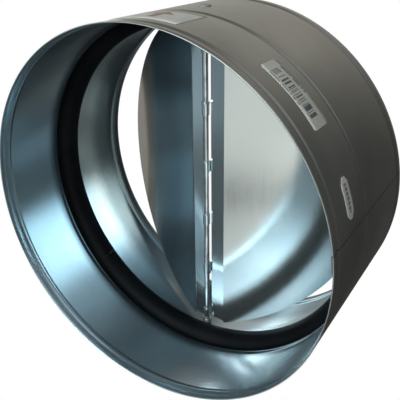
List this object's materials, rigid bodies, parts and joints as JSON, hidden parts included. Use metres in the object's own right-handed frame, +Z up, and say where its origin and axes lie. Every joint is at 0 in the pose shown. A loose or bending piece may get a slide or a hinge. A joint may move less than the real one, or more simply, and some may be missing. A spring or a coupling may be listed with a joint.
{
  "type": "backdraft damper",
  "caption": "Short round duct tube with a half-round rubber seal and two sprung half-moon blades on one upright pin, open to the outlet side.",
  "frame": {"origin": "on the duct's axis, in the plane of the inlet mouth", "axes": "+Y along the duct in the direction of the air flow, +Z up along the hinge pin, +X to the right seen from the inlet"},
  "size_m": [0.249, 0.1339, 0.2508],
  "materials": {
    "galvanised_sheet": "satin galvanised",
    "blade_sheet": "bright",
    "hinge_strip": "bright zinc",
    "pin_steel": "bright drawn wire",
    "spring_steel": "drawn spring wire",
    "washer_steel": "bright zinc",
    "seal_rubber": "satin black",
    "bush_nylon": "matte",
    "sticker_film": "paper white"
  },
  "bodies": {
    "root": {"casing": "galvanised_sheet", "seal_ring": "seal_rubber", "hinge_pin": "pin_steel", "upper_bush": "bush_nylon", "lower_bush": "bush_nylon", "upper_spring": "spring_steel", "lower_spring": "spring_steel", "upper_washer": "washer_steel", "lower_washer": "washer_steel", "upper_spacer": "washer_steel", "left_stop_ring": "washer_steel", "right_stop_ring": "washer_steel", "bar_label": "sticker_film", "size_label": "sticker_film", "arrow_label": "sticker_film"},
    "left_blade": {"left_blade": "blade_sheet", "left_hinge_leaf": "hinge_strip"},
    "right_blade": {"right_blade": "blade_sheet", "right_hinge_leaf": "hinge_strip"}
  },
  "joints": [
    {"name": "left_blade_hinge", "type": "hinge", "parent": "root", "child": "left_blade", "pos_m": [0, 0.077, 0], "axis": [0, 0, -1], "range_deg": [-30, 37], "stiffness_Nm_per_rad": 0.004, "springref_deg": -34.38, "deforming": ["lower_spring"]},
    {"name": "right_blade_hinge", "type": "hinge", "parent": "root", "child": "right_blade", "pos_m": [0, 0.077, 0], "axis": [0, 0, 1], "range_deg": [-26.5, 40.5], "stiffness_Nm_per_rad": 0.004, "springref_deg": -34.38, "deforming": ["upper_spring"]}
  ]
}
